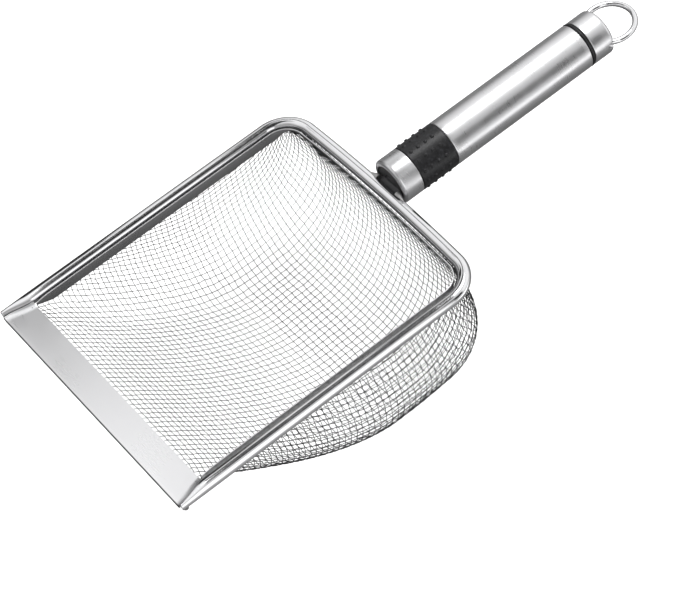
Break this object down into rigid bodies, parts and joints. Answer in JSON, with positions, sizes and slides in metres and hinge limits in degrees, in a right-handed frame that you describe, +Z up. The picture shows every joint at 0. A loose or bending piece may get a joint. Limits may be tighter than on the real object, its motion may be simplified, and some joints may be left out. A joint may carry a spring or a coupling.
{
  "type": "soil sieve",
  "caption": "Hand-held scoop-shaped soil sieve: a deep woven wire basket hung in a steel tube rim with a flat folded lip, and a round rubber-gripped handle with a hanging ring.",
  "frame": {"origin": "middle of the footprint, at the height of the basket's lowest point", "axes": "+X across the sieve, square to its plane of symmetry, which is X = 0; +Y from the lip towards the handle and the hanging ring; +Z up, square to the plane of the rim"},
  "size_m": [0.1566, 0.3412, 0.0918],
  "materials": {
    "polished_steel": "polished stainless steel",
    "satin_steel": "satin turned stainless steel",
    "sheet_steel": "bright rolled stainless sheet",
    "woven_wire": "plain drawn steel wire, woven",
    "weld_steel": "dull weld metal",
    "dark_steel": "dark oxidised steel",
    "black_rubber": "matt moulded rubber"
  },
  "bodies": {
    "scoop": {"rim_tube": "polished_steel", "clamp_band": "sheet_steel", "mesh_basket": "woven_wire", "lip_sheet": "sheet_steel", "neck_saddle": "weld_steel", "lip_weld_right": "weld_steel", "lip_weld_left": "weld_steel", "neck_weld_right": "weld_steel", "neck_weld_left": "weld_steel", "ferrule": "satin_steel", "ferrule_end_disc": "dark_steel", "tang_rod": "satin_steel", "tang_collar": "satin_steel", "grip_core": "satin_steel", "grip_sleeve": "black_rubber", "handle_tube": "satin_steel", "tang_plug": "satin_steel", "tube_plug": "satin_steel", "seal_ring": "black_rubber", "end_cap": "satin_steel"},
    "ring": {"hanging_ring": "polished_steel"}
  },
  "joints": [
    {"name": "ring_swing", "type": "hinge", "parent": "scoop", "child": "ring", "pos_m": [0, 0.1468, 0.07885], "axis": [1, 0, 0], "range_deg": [-18, 18]}
  ]
}
